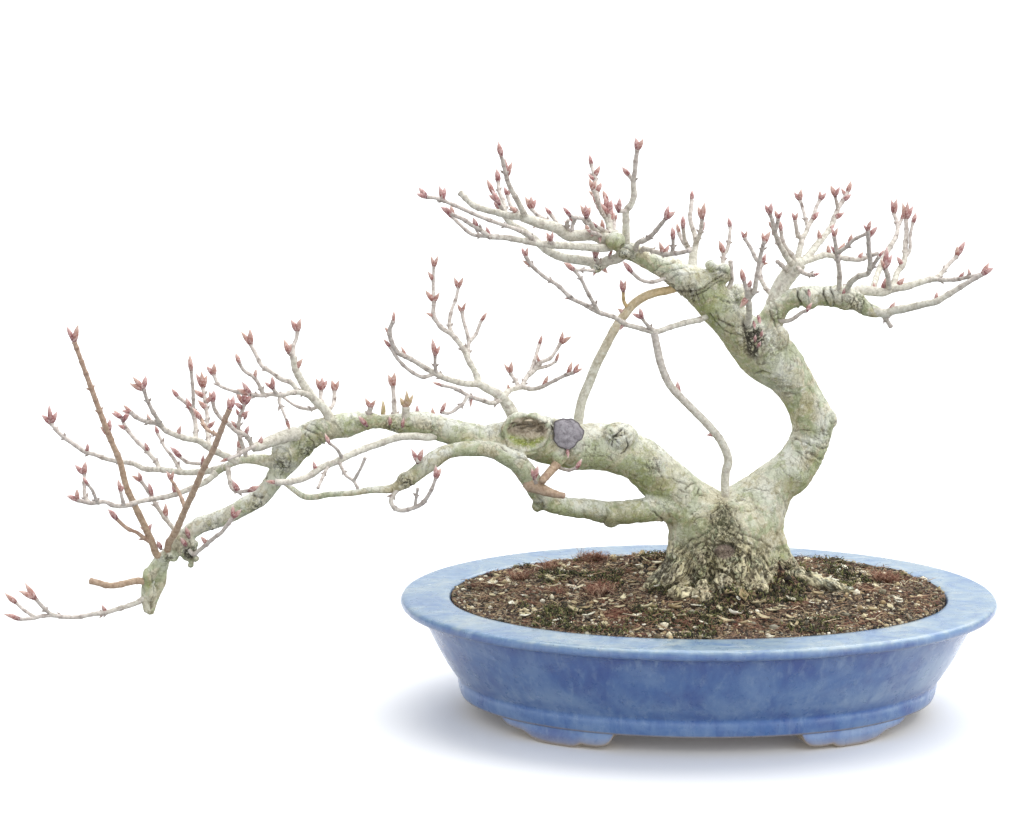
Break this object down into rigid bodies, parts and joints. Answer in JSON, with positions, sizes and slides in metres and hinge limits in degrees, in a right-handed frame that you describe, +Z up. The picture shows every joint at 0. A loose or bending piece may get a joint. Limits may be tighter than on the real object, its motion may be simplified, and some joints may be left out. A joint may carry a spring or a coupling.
{
  "type": "japanese maple bonsai",
  "caption": "Leafless windswept maple bonsai with fine twigs and winter buds, rooted in soil in an oval glazed pot on cloud feet.",
  "frame": {"origin": "middle of the whole object's box, at the plane that the pot's feet stand on", "axes": "+X along the pot's long side, away from the cascading limb; -Y towards the front view; +Z up"},
  "size_m": [0.6658, 0.302, 0.3873],
  "materials": {
    "glaze": "gloss",
    "soil": "matte",
    "net": "matte",
    "bark": "matte",
    "paste": "matte",
    "twig": "satin",
    "young_twig": "satin"
  },
  "bodies": {
    "root": {"crown_centre": "twig", "crown_front": "twig", "crown_inner": "twig", "crown_inner_right": "twig", "crown_left_back": "twig", "crown_left_high": "twig", "crown_left_low": "twig", "crown_left_top": "twig", "crown_middle": "twig", "crown_right": "twig", "crown_stem": "twig", "crown_top": "twig", "drain_mesh_left": "net", "drain_mesh_right": "net", "graft_arch": "twig", "graft_shoot": "twig", "hanging_twig": "twig", "left_back_shoot": "young_twig", "left_cross_twig": "twig", "left_cut_shoot": "twig", "left_high": "twig", "left_knuckle": "twig", "left_long_shoot": "young_twig", "left_low_spray": "young_twig", "left_low_tip": "young_twig", "left_middle_high": "twig", "left_middle_long": "twig", "left_middle_low": "twig", "left_red_shoot": "young_twig", "middle_spray": "twig", "pot": "glaze", "right_arm": "twig", "right_fork": "twig", "right_rise": "twig", "right_tip": "twig", "sealing_paste": "paste", "soil": "soil", "trunk": "bark", "under_limb": "twig"}
  },
  "joints": []
}
